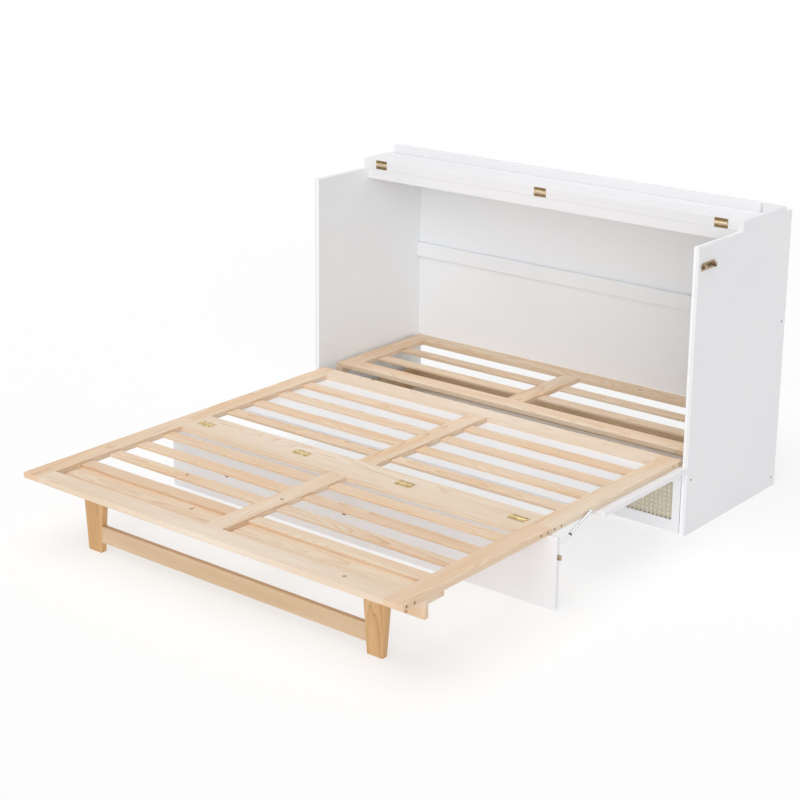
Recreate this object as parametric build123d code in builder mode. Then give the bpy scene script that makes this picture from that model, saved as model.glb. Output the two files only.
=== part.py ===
from build123d import *
import os

# Storage bed: a board cabinet with a drawer, whose front folds down into a
# slatted bed on a hinged support board and two hinged legs. Shown open.
# Millimetres, +Z up. X runs along the cabinet, the bed opens towards -Y.

os.makedirs("parts", exist_ok=True)

# Cabinet
cabinet_width = 1600
cabinet_depth = 620
board = 18
back_thickness = 15
back_inset = 1
back_bottom = 252
rear_board_gap = 6
top_depth = 338
top_rail_height = 38
back_rail_height = 56
back_upper_rail_z = 574
back_lower_rail_z = 6
corner_radius = 2

# Bed platform
bed_top = 254
wood = 18
rail_width = 70
slat_width = 50
slat_thickness = 10
slat_mortise = 12
slats_rear = 2
slats_middle = 4
slats_foot = 4
side_gap = 12
seam = 732
tuck = 18
foot_length = 702
rear_start = 96
foot_slat_start = 38
foot_slat_end = 111

# Fold-out front
panel = 15
panel_radius = 10
fold_gap = 0.5
lid_gap = 4
flap_floor_gap = 2
front_joint = 4
finger_hole_spacing = 523
finger_hole_middle_x = -22
finger_hole_z = 108
finger_hole_radius = 16

# Lid
lid_overhang = 15.5
lip_height = 33
lip_from_hinge = 150
lip_side_gap = 4

# Drawer
drawer_floor_gap = 6
drawer_side_gap = 3
drawer_front_height = 210
drawer_stile = 29
drawer_rail = 40
cane_recess = 4
cane_thickness = 3
drawer_box_height = 100
drawer_box_z = 30
drawer_box_inset = 18
drawer_box_thickness = 12
drawer_back_gap = 26
drawer_bottom_thickness = 6
drawer_bottom_rise = 8
groove_depth = 5
fit = 0.2
slide_gap = 0.3

# Battens and crossbeam
batten = 20
ledger_height = 24
runner_height = 18
runner_overlap = 14
beam_height = 40
beam_drop = 25

# Legs
leg_inset = 193
leg_top_width = 85
leg_foot_width = 57
leg_taper_height = 165
leg_thickness = 22
apron_setback = 97
apron_height = 60
apron_side_gap = 2
mount_width = 70
leg_gap = 2
stretcher_z = 37
stretcher_height = 56
bracket_thickness = 3
bracket_width = 30
bracket_flange = 24
bracket_gap = 0.3
leg_pin_radius = 4
leg_pin_length = 16
pin_fit = 0.2

# Butt hinges
leaf = 1.5
leaf_width = 21
leaf_length = 64
knuckle_radius = 3
knuckle_room = 0.4
hinge_pin_radius = 1.2
seam_hinge_inset = 50
seam_hinge_inner_x = 215
flap_hinge_inset = 140
lid_hinge_inset = 83
lid_leaf_length = 50
bed_leaf_length = 12
bed_leaf_height = 50

# Stays between the middle frame and the flap
stay_room_centre = 6.5
stay_tube_radius = 4.2
stay_rod_radius = 2.8
stay_tube_length = 115
stay_tube_wall_end = 8
stay_eye_radius = 5
stay_eye_width = 6
stay_eye_wall = 1
stay_head_width = 0.9
stay_stud_radius = 2
stay_collar_radius = 3.5
stay_stud_inset = 200
stay_stud_z = 248
stay_foot_back = 23
stay_foot_drop = 52
stay_foot_plate = 2.4
stay_fit = 0.15
stay_end_gap = 0.3

# Barrel bolts
bolt_drop = 68
bolt_start = 20
bolt_length = 83
bolt_plate_height = 26
bolt_plate = 1.5
bolt_bar_radius = 3.5
bolt_bar_offset = 6.5
bolt_guide_length = 12
bolt_guide_inset = 4
bolt_guide_height = 14
bolt_knob_radius = 4.5
keeper_length = 8
keeper_back = 4
bolt_fit = 0.3

# Screws and frame bolts
screw_head_radius = 4
screw_head_depth = 2
screw_shank_radius = 2
screw_length = 16
frame_bolt_radius = 3
frame_bolt_head_radius = 5
frame_bolt_length = 110
frame_bolt_recess = 4
frame_bolt_head = 5

# Derived positions; y is measured from the cabinet's front plane
half = cabinet_width / 2
inner = half - board
frame_half = inner - side_gap
rail_in = frame_half - rail_width
centre_half = rail_width / 2
bed_bottom = bed_top - wood
slat_top = bed_bottom + slat_thickness
bed_pivot_z = bed_bottom + fold_gap
side_height = bed_pivot_z + seam + lid_gap
top_z = side_height + board
lid_z = top_z + board
foot_end = -seam - foot_length
front = -(foot_end + cabinet_depth) / 2
back_front = cabinet_depth - back_inset - back_thickness
rear_end = back_front - rear_board_gap
top_y = cabinet_depth - top_depth
flap_top = bed_bottom - fold_gap
panel_edge = -(seam - (bed_bottom - flap_floor_gap) - front_joint)
lid_length = top_y + lid_overhang
drawer_top = drawer_floor_gap + drawer_front_height
beam_z = drawer_top - beam_drop
notch = knuckle_radius + knuckle_room
leg_pivot_y = foot_end + apron_setback + board + leg_gap + leg_thickness / 2
mount_bottom = bed_bottom - wood
leg_pivot_z = mount_bottom - leg_thickness / 2 - 2 * fold_gap
leg_top = leg_pivot_z + leg_thickness / 2
apron_y = foot_end + apron_setback
stay_x = frame_half + stay_room_centre
stay_stud_y = seam - stay_stud_inset
bolt_z = side_height - bolt_drop
keeper_z = bed_bottom - (seam - (bolt_z - bed_pivot_z))
bolt_x = half + bolt_bar_offset
leg_x = frame_half - leg_inset
seam_hinge_outer_x = rail_in - seam_hinge_inset
seam_hinge_x = (-seam_hinge_outer_x, -seam_hinge_inner_x, seam_hinge_inner_x, seam_hinge_outer_x)
flap_hinge_x = (flap_hinge_inset - rail_in, 0, rail_in - flap_hinge_inset)
lid_hinge_x = (lid_hinge_inset - half, 0, half - lid_hinge_inset)


def slab(x, y, z, mode=Mode.ADD):
    """Add a board to the part being built, from its limits along each axis."""
    with BuildSketch(Plane.XY.offset(z[0])) as outline:
        with Locations(((x[0] + x[1]) / 2, front + (y[0] + y[1]) / 2)):
            Rectangle(x[1] - x[0], y[1] - y[0])
    extrude(outline.sketch, amount=z[1] - z[0], mode=mode)


def rod_x(x, y, z, radius, mode=Mode.ADD):
    """Add a round bar along X between two x limits."""
    with BuildSketch(Plane.YZ.offset(x[0])) as outline:
        with Locations((front + y, z)):
            Circle(radius)
    extrude(outline.sketch, amount=x[1] - x[0], mode=mode)


def rod_y(x, y, z, radius, mode=Mode.ADD):
    """Add a round bar along Y between two y limits."""
    with BuildSketch(Plane.XZ.offset(-(front + y[1]))) as outline:
        with Locations((x, z)):
            Circle(radius)
    extrude(outline.sketch, amount=y[1] - y[0], mode=mode)


def span(a, b):
    """Order two limits, so that a mirrored piece is written the same way."""
    return (min(a, b), max(a, b))


def finish(part, node):
    """Label a finished piece and write it."""
    part.part.label = node
    export_step(part.part, f"parts/{node}.step")


# Slats: equal gaps in the rear and middle frames, measured ones in the foot
rear_board_ends = (rear_start + rail_width, rear_end - rail_width)
middle_board_ends = (-seam + rail_width, tuck - rail_width)
rear_gap = (rear_board_ends[1] - rear_board_ends[0] - slats_rear * slat_width) / (slats_rear + 1)
middle_clear = middle_board_ends[1] - middle_board_ends[0] - slats_middle * slat_width
middle_gap = middle_clear / (slats_middle + 1)
rear_slat_y = []
for k in range(slats_rear):
    rear_slat_y.append(rear_board_ends[0] + rear_gap + k * (rear_gap + slat_width))
middle_slat_y = []
for k in range(slats_middle):
    middle_slat_y.append(middle_board_ends[0] + middle_gap + k * (middle_gap + slat_width))
foot_clear = foot_length - 2 * rail_width - foot_slat_start - foot_slat_end - slats_foot * slat_width
foot_slat_gap = foot_clear / (slats_foot - 1)
foot_slat_y = []
for k in range(slats_foot):
    foot_slat_back = -seam - rail_width - foot_slat_start - k * (slat_width + foot_slat_gap)
    foot_slat_y.append(foot_slat_back - slat_width)


def slat_mortises(rows, side_x):
    """Cut the slats' mortises on one edge of a rail."""
    for row in rows:
        for x in side_x:
            depth = slat_mortise + fit
            slab(span(x, x + depth * (1 if x > 0 else -1)), (row - fit, row + slat_width + fit),
                 (bed_bottom, slat_top + fit), mode=Mode.SUBTRACT)


def centre_mortises(rows):
    """Cut the slats' mortises on both edges of a centre rail."""
    for row in rows:
        for side in (-1, 1):
            slab(span(side * centre_half, side * (centre_half - slat_mortise - fit)),
                 (row - fit, row + slat_width + fit), (bed_bottom, slat_top + fit), mode=Mode.SUBTRACT)


def slats(rows):
    """Add the pairs of slats, whose ends sit in the rails' mortises."""
    for row in rows:
        for side in (-1, 1):
            slab(span(side * (centre_half - slat_mortise), side * (rail_in + slat_mortise)),
                 (row, row + slat_width), (bed_bottom, slat_top))


def bolt_sites(ends):
    """List the centres, along Y, of the two bolts through a rail into a cross board."""
    spread = rail_width / 4
    middle = (ends[0] + ends[1]) / 2
    return (middle - spread, middle + spread)


def bolt_holes(sites, side, reach):
    """Bore a side rail or the end of a cross board for its bolts."""
    z = bed_bottom + wood / 2
    for y in sites:
        rod_x(span(side * frame_half, side * (frame_half - reach)), y, z, frame_bolt_radius,
              mode=Mode.SUBTRACT)


def bolt_recesses(sites, side):
    """Countersink a side rail's outer face for the bolt heads."""
    z = bed_bottom + wood / 2
    for y in sites:
        rod_x(span(side * frame_half, side * (frame_half - frame_bolt_recess - frame_bolt_head)), y, z,
              frame_bolt_head_radius, mode=Mode.SUBTRACT)


def frame_bolts(sites):
    """Add the bolts that hold the cross boards to both side rails."""
    z = bed_bottom + wood / 2
    for side in (-1, 1):
        start = frame_half - frame_bolt_recess
        for y in sites:
            rod_x(span(side * start, side * (start - frame_bolt_head)), y, z, frame_bolt_head_radius)
            rod_x(span(side * (start - frame_bolt_head), side * (start - frame_bolt_length)), y, z,
                  frame_bolt_radius)


middle_rear_ends = (tuck - rail_width, tuck)
middle_seam_ends = (-seam, -seam + rail_width)
foot_seam_ends = (-seam - rail_width, -seam)
foot_end_ends = (foot_end, foot_end + rail_width)
bolt_reach = frame_bolt_recess + frame_bolt_length


# Hinge leaves. A hinge lies on an axis along X. u points from the axis along
# the leaf, v is the side of the leaf that shows; both are (y, z) directions.
def leaf_box(x, axis, u, v, along, across, mode=Mode.ADD):
    """Add a box in the hinge's own directions."""
    y0 = axis[0] + u[0] * along[0] + v[0] * across[0]
    y1 = axis[0] + u[0] * along[1] + v[0] * across[1]
    z0 = axis[1] + u[1] * along[0] + v[1] * across[0]
    z1 = axis[1] + u[1] * along[1] + v[1] * across[1]
    slab(x, span(y0, y1), span(z0, z1), mode=mode)


def hinge_leaf(x_centre, length, width, axis, u, v, shift, has_pin):
    """Add one leaf: its plate, its knuckles and, on one of the two, the pin."""
    x = (x_centre - length / 2, x_centre + length / 2)
    third = length / 3
    leaf_box(x, axis, u, v, (notch, width), (shift - leaf, shift))
    if has_pin:
        parts_x = [(x[0], x[0] + third), (x[1] - third, x[1])]
    else:
        parts_x = [(x[0] + third + pin_fit, x[1] - third - pin_fit)]
    for piece in parts_x:
        leaf_box(piece, axis, u, v, (0, notch), (shift - leaf, shift))
        rod_x(piece, axis[0], axis[1], knuckle_radius)
    if has_pin:
        rod_x((x[0], x[1]), axis[0], axis[1], hinge_pin_radius)
    else:
        rod_x(parts_x[0], axis[0], axis[1], hinge_pin_radius + pin_fit, mode=Mode.SUBTRACT)


def hinge_seat(x_centre, length, width, axis, u, v, shift, past=0):
    """Cut the recess for a leaf and the room for the knuckles."""
    x = (x_centre - length / 2 - fit, x_centre + length / 2 + fit)
    leaf_box(x, axis, u, v, (0, width + fit), (shift - leaf, shift), mode=Mode.SUBTRACT)
    leaf_box(x, axis, u, v, (-past, notch), (-notch, notch), mode=Mode.SUBTRACT)


seam_axis = (-seam, bed_top)
flap_axis = (-seam, bed_bottom)
bed_axis = (0, bed_pivot_z)
lid_axis = (top_y, top_z)
bed_leaf_x = half - board / 2

# Cabinet sides
for side, node in ((-1, "side_panel_left"), (1, "side_panel_right")):
    with BuildPart() as side_panel:
        slab(span(side * inner, side * half), (0, cabinet_depth), (0, side_height))
        upright = side_panel.edges().filter_by(Axis.Z).group_by(Axis.X)
        fillet(upright[-1] if side > 0 else upright[0], corner_radius)
        hinge_seat(side * bed_leaf_x, bed_leaf_length, bed_leaf_height, bed_axis, (0, -1), (-1, 0), 0,
                   past=notch)
        screw_y = (back_front - board / 2, back_front - board / 2, 3 * board / 2 + fold_gap)
        screw_z = (back_lower_rail_z + back_rail_height / 2, back_upper_rail_z + back_rail_height / 2,
                   beam_z)
        for y, z in zip(screw_y, screw_z):
            rod_x(span(side * half, side * (half - screw_head_depth)), y, z, screw_head_radius,
                  mode=Mode.SUBTRACT)
            rod_x(span(side * half, side * (half - screw_length)), y, z, screw_shank_radius,
                  mode=Mode.SUBTRACT)
    finish(side_panel, node)

with BuildPart() as cabinet_screws:
    for side in (-1, 1):
        for y, z in zip(screw_y, screw_z):
            rod_x(span(side * half, side * (half - screw_head_depth)), y, z, screw_head_radius)
            rod_x(span(side * (half - screw_head_depth), side * (half - screw_length)), y, z,
                  screw_shank_radius)
finish(cabinet_screws, "cabinet_screws")

# Fixed top and the rails between the sides
with BuildPart() as top_board:
    slab((-half, half), (top_y, cabinet_depth), (side_height, top_z))
    fillet(top_board.edges().filter_by(Axis.Z).group_by(Axis.Y)[-1], corner_radius)
    for x in lid_hinge_x:
        hinge_seat(x, lid_leaf_length, board - corner_radius, lid_axis, (0, -1), (-1, 0), 0)
finish(top_board, "top_board")

with BuildPart() as top_front_rail:
    slab((-inner, inner), (top_y, top_y + board), (side_height - top_rail_height, side_height))
finish(top_front_rail, "top_front_rail")

with BuildPart() as back_panel:
    slab((-inner, inner), (back_front, back_front + back_thickness), (back_bottom, side_height))
finish(back_panel, "back_panel")

back_rails = ((back_upper_rail_z, "back_upper_rail"), (back_lower_rail_z, "back_lower_rail"))
for z, node in back_rails:
    with BuildPart() as back_rail:
        slab((-inner, inner), (back_front - board, back_front), (z, z + back_rail_height))
    finish(back_rail, node)

with BuildPart() as front_crossbeam:
    slab((-inner, inner), (board + fold_gap, 2 * board + fold_gap),
         (beam_z - beam_height / 2, beam_z + beam_height / 2))
finish(front_crossbeam, "front_crossbeam")

batten_y = (2 * board + 2 * fold_gap, rear_end)
with BuildPart() as side_battens:
    for side in (-1, 1):
        slab(span(side * (inner - batten - side_gap), side * inner), (rear_start, batten_y[1]),
             (bed_bottom - ledger_height, bed_bottom))
        slab(span(side * (inner - batten - runner_overlap), side * inner), (batten_y[0], back_front - board),
             (drawer_box_z - slide_gap - runner_height, drawer_box_z - slide_gap))
finish(side_battens, "side_battens")

# Rear slatted frame, fixed in the cabinet
for side, node in ((-1, "rear_rail_left"), (1, "rear_rail_right")):
    with BuildPart() as rear_rail:
        slab(span(side * rail_in, side * frame_half), (rear_start, rear_end), (bed_bottom, bed_top))
        slat_mortises(rear_slat_y, (side * rail_in,))
    finish(rear_rail, node)

rear_boards = (((rear_start, rear_start + rail_width), "rear_front_board"),
               ((rear_end - rail_width, rear_end), "rear_back_board"))
for ends, node in rear_boards:
    with BuildPart() as rear_board:
        slab((-rail_in, rail_in), ends, (bed_bottom, bed_top))
    finish(rear_board, node)

with BuildPart() as rear_centre_rail:
    slab((-centre_half, centre_half), rear_board_ends, (bed_bottom, bed_top))
    centre_mortises(rear_slat_y)
finish(rear_centre_rail, "rear_centre_rail")

with BuildPart() as rear_slats:
    slats(rear_slat_y)
finish(rear_slats, "rear_slats")

# Middle slatted frame, which lifts with the lower front panel
for side, node in ((-1, "mid_rail_left"), (1, "mid_rail_right")):
    with BuildPart() as mid_rail:
        slab(span(side * rail_in, side * frame_half), (-seam, tuck), (bed_bottom, bed_top))
        slat_mortises(middle_slat_y, (side * rail_in,))
        for ends in (middle_rear_ends, middle_seam_ends):
            bolt_recesses(bolt_sites(ends), side)
            bolt_holes(bolt_sites(ends), side, bolt_reach)
        rod_x(span(side * (frame_half - screw_length), side * frame_half), -stay_stud_y, stay_stud_z,
              stay_stud_radius, mode=Mode.SUBTRACT)
    finish(mid_rail, node)

for ends, node in ((middle_rear_ends, "mid_rear_board"), (middle_seam_ends, "mid_seam_board")):
    with BuildPart() as mid_board:
        slab((-rail_in, rail_in), ends, (bed_bottom, bed_top))
        for side in (-1, 1):
            bolt_holes(bolt_sites(ends), side, bolt_reach)
        if ends == middle_seam_ends:
            for x in seam_hinge_x:
                hinge_seat(x, leaf_length, leaf_width, seam_axis, (1, 0), (0, 1), 0)
            for x in flap_hinge_x:
                hinge_seat(x, leaf_length, leaf_width, flap_axis, (1, 0), (0, -1), 0)
    finish(mid_board, node)

with BuildPart() as mid_centre_rail:
    slab((-centre_half, centre_half), middle_board_ends, (bed_bottom, bed_top))
    centre_mortises(middle_slat_y)
finish(mid_centre_rail, "mid_centre_rail")

with BuildPart() as mid_slats:
    slats(middle_slat_y)
finish(mid_slats, "mid_slats")

with BuildPart() as mid_frame_bolts:
    for ends in (middle_rear_ends, middle_seam_ends):
        frame_bolts(bolt_sites(ends))
finish(mid_frame_bolts, "mid_frame_bolts")

with BuildPart() as lower_front_panel:
    slab((-half, half), (panel_edge, -fold_gap), (bed_bottom - panel, bed_bottom))
    fillet(lower_front_panel.edges().filter_by(Axis.Z).group_by(Axis.Y)[0], panel_radius)
    for side in (-1, 1):
        hinge_seat(side * bed_leaf_x, bed_leaf_length, bed_leaf_height, bed_axis, (-1, 0), (0, 1), -fold_gap)
finish(lower_front_panel, "lower_front_panel")

with BuildPart() as bed_hinge_cabinet_leaves:
    for side in (-1, 1):
        hinge_leaf(side * bed_leaf_x, bed_leaf_length, bed_leaf_height, bed_axis, (0, -1), (-1, 0), 0, True)
finish(bed_hinge_cabinet_leaves, "bed_hinge_cabinet_leaves")

with BuildPart() as bed_hinge_panel_leaves:
    for side in (-1, 1):
        hinge_leaf(side * bed_leaf_x, bed_leaf_length, bed_leaf_height, bed_axis, (-1, 0), (0, 1),
                   -fold_gap, False)
finish(bed_hinge_panel_leaves, "bed_hinge_panel_leaves")

with BuildPart() as mid_hinge_leaves:
    for x in seam_hinge_x:
        hinge_leaf(x, leaf_length, leaf_width, seam_axis, (1, 0), (0, 1), 0, True)
    for x in flap_hinge_x:
        hinge_leaf(x, leaf_length, leaf_width, flap_axis, (1, 0), (0, -1), 0, True)
finish(mid_hinge_leaves, "mid_hinge_leaves")

# Foot slatted frame, which folds over the middle one
for side, node in ((-1, "foot_rail_left"), (1, "foot_rail_right")):
    with BuildPart() as foot_rail:
        slab(span(side * rail_in, side * frame_half), (foot_end, -seam), (bed_bottom, bed_top))
        slat_mortises(foot_slat_y, (side * rail_in,))
        for ends in (foot_end_ends, foot_seam_ends):
            bolt_recesses(bolt_sites(ends), side)
            bolt_holes(bolt_sites(ends), side, bolt_reach)
    finish(foot_rail, node)

for ends, node in ((foot_seam_ends, "foot_seam_board"), (foot_end_ends, "foot_end_board")):
    with BuildPart() as foot_board:
        slab((-rail_in, rail_in), ends, (bed_bottom, bed_top))
        for side in (-1, 1):
            bolt_holes(bolt_sites(ends), side, bolt_reach)
        if ends == foot_seam_ends:
            for x in seam_hinge_x:
                hinge_seat(x, leaf_length, leaf_width, seam_axis, (-1, 0), (0, 1), 0)
            for x in flap_hinge_x:
                room = (x - leaf_length / 2 - fit, x + leaf_length / 2 + fit)
                leaf_box(room, flap_axis, (-1, 0), (0, 1), (0, notch), (0, notch), mode=Mode.SUBTRACT)
    finish(foot_board, node)

with BuildPart() as foot_centre_rail:
    slab((-centre_half, centre_half), (foot_end_ends[1], foot_seam_ends[0]), (bed_bottom, bed_top))
    centre_mortises(foot_slat_y)
finish(foot_centre_rail, "foot_centre_rail")

with BuildPart() as foot_slats:
    slats(foot_slat_y)
finish(foot_slats, "foot_slats")

with BuildPart() as foot_frame_bolts:
    for ends in (foot_end_ends, foot_seam_ends):
        frame_bolts(bolt_sites(ends))
finish(foot_frame_bolts, "foot_frame_bolts")

with BuildPart() as seam_hinge_foot_leaves:
    for x in seam_hinge_x:
        hinge_leaf(x, leaf_length, leaf_width, seam_axis, (-1, 0), (0, 1), 0, False)
finish(seam_hinge_foot_leaves, "seam_hinge_foot_leaves")

# Apron, mounting board and folding legs
apron_half = frame_half - apron_side_gap
with BuildPart() as leg_apron:
    slab((-apron_half, apron_half), (apron_y, apron_y + board), (bed_bottom - apron_height, bed_bottom))
finish(leg_apron, "leg_apron")

with BuildPart() as leg_mount_board:
    slab((-apron_half, apron_half), (apron_y + board, apron_y + board + mount_width),
         (mount_bottom, bed_bottom))
finish(leg_mount_board, "leg_mount_board")

leg_front = leg_pivot_y - leg_thickness / 2
leg_back = leg_pivot_y + leg_thickness / 2
top_half = leg_top_width / 2
foot_half = leg_foot_width / 2
for side, node in ((-1, "leg_left"), (1, "leg_right")):
    x = side * leg_x
    with BuildPart() as leg:
        with BuildSketch(Plane.XZ.offset(-(front + leg_back))) as leg_outline:
            with BuildLine():
                Polyline((x - foot_half, 0), (x + foot_half, 0), (x + top_half, leg_taper_height),
                         (x + top_half, leg_top), (x - top_half, leg_top),
                         (x - top_half, leg_taper_height), close=True)
            make_face()
        extrude(leg_outline.sketch, amount=leg_thickness)
        top_edges = leg.edges().filter_by(Axis.X).group_by(Axis.Z)[-1]
        fillet(top_edges, leg_thickness / 2 - fold_gap)
        for end in (-1, 1):
            rod_x(span(x + end * top_half, x + end * (top_half - leg_pin_length - pin_fit)), leg_pivot_y,
                  leg_pivot_z, leg_pin_radius + pin_fit, mode=Mode.SUBTRACT)
    finish(leg, node)

lean = (top_half - foot_half) / leg_taper_height
low_half = leg_x - foot_half - lean * stretcher_z
high_half = leg_x - foot_half - lean * (stretcher_z + stretcher_height)
with BuildPart() as leg_stretcher:
    with BuildSketch(Plane.XZ.offset(-(front + leg_front + wood))) as stretcher_outline:
        with BuildLine():
            Polyline((-low_half, stretcher_z), (low_half, stretcher_z),
                     (high_half, stretcher_z + stretcher_height),
                     (-high_half, stretcher_z + stretcher_height), close=True)
        make_face()
    extrude(stretcher_outline.sketch, amount=wood)
finish(leg_stretcher, "leg_stretcher")

with BuildPart() as leg_pivot_brackets:
    for side in (-1, 1):
        for end in (-1, 1):
            face = side * leg_x + end * (top_half + bracket_gap)
            outer = face + end * bracket_thickness
            y = (leg_pivot_y - bracket_width / 2 + leg_gap, leg_pivot_y + bracket_width / 2)
            slab(span(face, outer), y, (leg_pivot_z - 2 * leg_pin_radius, mount_bottom))
            slab(span(outer, outer + end * bracket_flange), y,
                 (mount_bottom - bracket_thickness, mount_bottom))
            rod_x(span(outer, side * leg_x + end * (top_half - leg_pin_length)), leg_pivot_y, leg_pivot_z,
                  leg_pin_radius)
finish(leg_pivot_brackets, "leg_pivot_brackets")

# Flap: the upper front panel, which stands on edge under the seam
flap_y = (-seam - panel, -seam)
with BuildPart() as flap_panel:
    slab((-half, half), flap_y, (flap_floor_gap, flap_top))
    fillet(flap_panel.edges().filter_by(Axis.Y), panel_radius)
    for x in flap_hinge_x:
        hinge_seat(x, leaf_length, leaf_width, flap_axis, (0, -1), (1, 0), 0)
    for k in (-1, 0, 1):
        rod_y(finger_hole_middle_x + k * finger_hole_spacing, flap_y, finger_hole_z, finger_hole_radius,
              mode=Mode.SUBTRACT)
    for side in (-1, 1):
        slab(span(side * (frame_half - batten), side * (frame_half + stay_foot_plate + stay_end_gap + fit)),
             (-seam - stay_foot_plate, -seam),
             (bed_bottom - stay_foot_drop - batten, bed_bottom - stay_foot_drop + batten), mode=Mode.SUBTRACT)
finish(flap_panel, "flap_panel")

with BuildPart() as flap_hinge_panel_leaves:
    for x in flap_hinge_x:
        hinge_leaf(x, leaf_length, leaf_width, flap_axis, (0, -1), (1, 0), 0, False)
finish(flap_hinge_panel_leaves, "flap_hinge_panel_leaves")

# Stays: tube on the frame's stud, rod towards the foot on the flap
stay_foot = (-seam + stay_foot_back, bed_bottom - stay_foot_drop)
stay_run = Vector(0, stay_foot[0] + stay_stud_y, stay_foot[1] - stay_stud_z)
stay_length = stay_run.length
stay_dir = stay_run.normalized()
foot_face = frame_half + stay_end_gap
foot_outer = foot_face + stay_foot_plate
stay_eye_x = (stay_x - stay_eye_width / 2, stay_x + stay_eye_width / 2)
stay_head_x = stay_eye_x[1] + stay_end_gap + stay_head_width

with BuildPart() as strut_flap_brackets:
    for side in (-1, 1):
        slab(span(side * (frame_half - batten + fit), side * foot_outer), (-seam - stay_foot_plate, -seam),
             (stay_foot[1] - batten + fit, stay_foot[1] + batten - fit))
        slab(span(side * foot_face, side * foot_outer), (-seam, stay_foot[0] + stay_eye_radius),
             (stay_foot[1] - stay_eye_radius, stay_foot[1] + stay_eye_radius))
        rod_x(span(side * foot_outer, side * (stay_eye_x[0] - stay_end_gap)), stay_foot[0], stay_foot[1],
              stay_stud_radius)
finish(strut_flap_brackets, "strut_flap_brackets")

with BuildPart() as strut_frame_studs:
    for side in (-1, 1):
        rod_x(span(side * (frame_half - screw_length), side * (stay_eye_x[1] + stay_end_gap)), -stay_stud_y,
              stay_stud_z, stay_stud_radius)
        rod_x(span(side * frame_half, side * (stay_eye_x[0] - stay_end_gap)), -stay_stud_y, stay_stud_z,
              stay_collar_radius)
        rod_x(span(side * (stay_eye_x[1] + stay_end_gap), side * stay_head_x),
              -stay_stud_y, stay_stud_z, stay_collar_radius)
finish(strut_frame_studs, "strut_frame_studs")


def stay_plane(side, along):
    """Return the plane across a stay at a distance from its stud."""
    at = Vector(side * stay_x, front - stay_stud_y, stay_stud_z) + stay_dir * along
    return Plane(origin=at, x_dir=(1, 0, 0), z_dir=stay_dir)


def stay_bar(side, radius, along, mode=Mode.ADD):
    """Add a round bar along a stay, between two distances from its stud."""
    with BuildSketch(stay_plane(side, along[0])) as section:
        Circle(radius)
    extrude(section.sketch, amount=along[1] - along[0], mode=mode)


tube_start = stay_eye_radius - stay_eye_wall
tube_end = tube_start + stay_tube_length
rod_inner_end = tube_end - stay_tube_length / 3
with BuildPart() as strut_tubes:
    for side in (-1, 1):
        stay_bar(side, stay_tube_radius, (tube_start, tube_end))
        rod_x(span(side * stay_eye_x[0], side * stay_eye_x[1]), -stay_stud_y, stay_stud_z, stay_eye_radius)
        rod_x(span(side * (stay_eye_x[0] - fit), side * (stay_eye_x[1] + fit)), -stay_stud_y, stay_stud_z,
              stay_stud_radius + stay_fit, mode=Mode.SUBTRACT)
        stay_bar(side, stay_rod_radius + stay_fit, (tube_start + stay_tube_wall_end, tube_end),
                 mode=Mode.SUBTRACT)
finish(strut_tubes, "strut_tubes")

with BuildPart() as strut_rods:
    for side in (-1, 1):
        stay_bar(side, stay_rod_radius, (rod_inner_end, stay_length - tube_start))
        rod_x(span(side * stay_eye_x[0], side * stay_eye_x[1]), stay_foot[0], stay_foot[1], stay_eye_radius)
finish(strut_rods, "strut_rods")

# Barrel bolts outside the cabinet and their keepers on the flap's edges
guide_y = (bolt_start + bolt_guide_inset, bolt_start + bolt_length - bolt_guide_inset - bolt_guide_length)
with BuildPart() as bolt_bases:
    for side in (-1, 1):
        slab(span(side * half, side * (half + bolt_plate)), (bolt_start, bolt_start + bolt_length),
             (bolt_z - bolt_plate_height / 2, bolt_z + bolt_plate_height / 2))
        for y in guide_y:
            slab(span(side * (half + bolt_plate), side * (bolt_x + bolt_bar_radius + bolt_plate)),
                 (y, y + bolt_guide_length), (bolt_z - bolt_guide_height / 2, bolt_z + bolt_guide_height / 2))
            rod_y(side * bolt_x, (y, y + bolt_guide_length), bolt_z, bolt_bar_radius + bolt_fit,
                  mode=Mode.SUBTRACT)
finish(bolt_bases, "bolt_bases")

bar_y = (bolt_start - bolt_guide_inset, bolt_start + bolt_length)
knob_y = guide_y[1] - 2 * bolt_knob_radius
for side, node in ((-1, "bolt_bar_left"), (1, "bolt_bar_right")):
    with BuildPart() as bolt_bar:
        rod_y(side * bolt_x, bar_y, bolt_z, bolt_bar_radius)
        knob_x = bolt_x + 2 * bolt_knob_radius
        rod_x(span(side * bolt_x, side * knob_x), knob_y, bolt_z, bolt_knob_radius / 2)
        rod_x(span(side * knob_x, side * (knob_x + bolt_knob_radius)), knob_y, bolt_z, bolt_knob_radius)
    finish(bolt_bar, node)

with BuildPart() as bolt_keepers:
    for side in (-1, 1):
        y = (-seam - keeper_back - keeper_length, -seam - keeper_back)
        slab(span(side * half, side * (bolt_x + bolt_bar_radius + bolt_plate)), y,
             (keeper_z - bolt_guide_height / 2, keeper_z + bolt_guide_height / 2))
        rod_y(side * bolt_x, y, keeper_z, bolt_bar_radius + bolt_fit, mode=Mode.SUBTRACT)
finish(bolt_keepers, "bolt_keepers")

# Front part of the lid, laid back on the fixed top
with BuildPart() as lid_front_board:
    slab((-half, half), (top_y, top_y + lid_length), (top_z, lid_z))
    fillet(lid_front_board.edges().filter_by(Axis.Z).group_by(Axis.Y)[-1], corner_radius)
    for x in lid_hinge_x:
        hinge_seat(x, lid_leaf_length, board - corner_radius, lid_axis, (0, 1), (-1, 0), 0)
finish(lid_front_board, "lid_front_board")

lip_half = inner - lip_side_gap
with BuildPart() as lid_lip:
    slab((-lip_half, lip_half), (top_y + lip_from_hinge, top_y + lip_from_hinge + board),
         (lid_z, lid_z + lip_height))
finish(lid_lip, "lid_lip")

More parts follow.
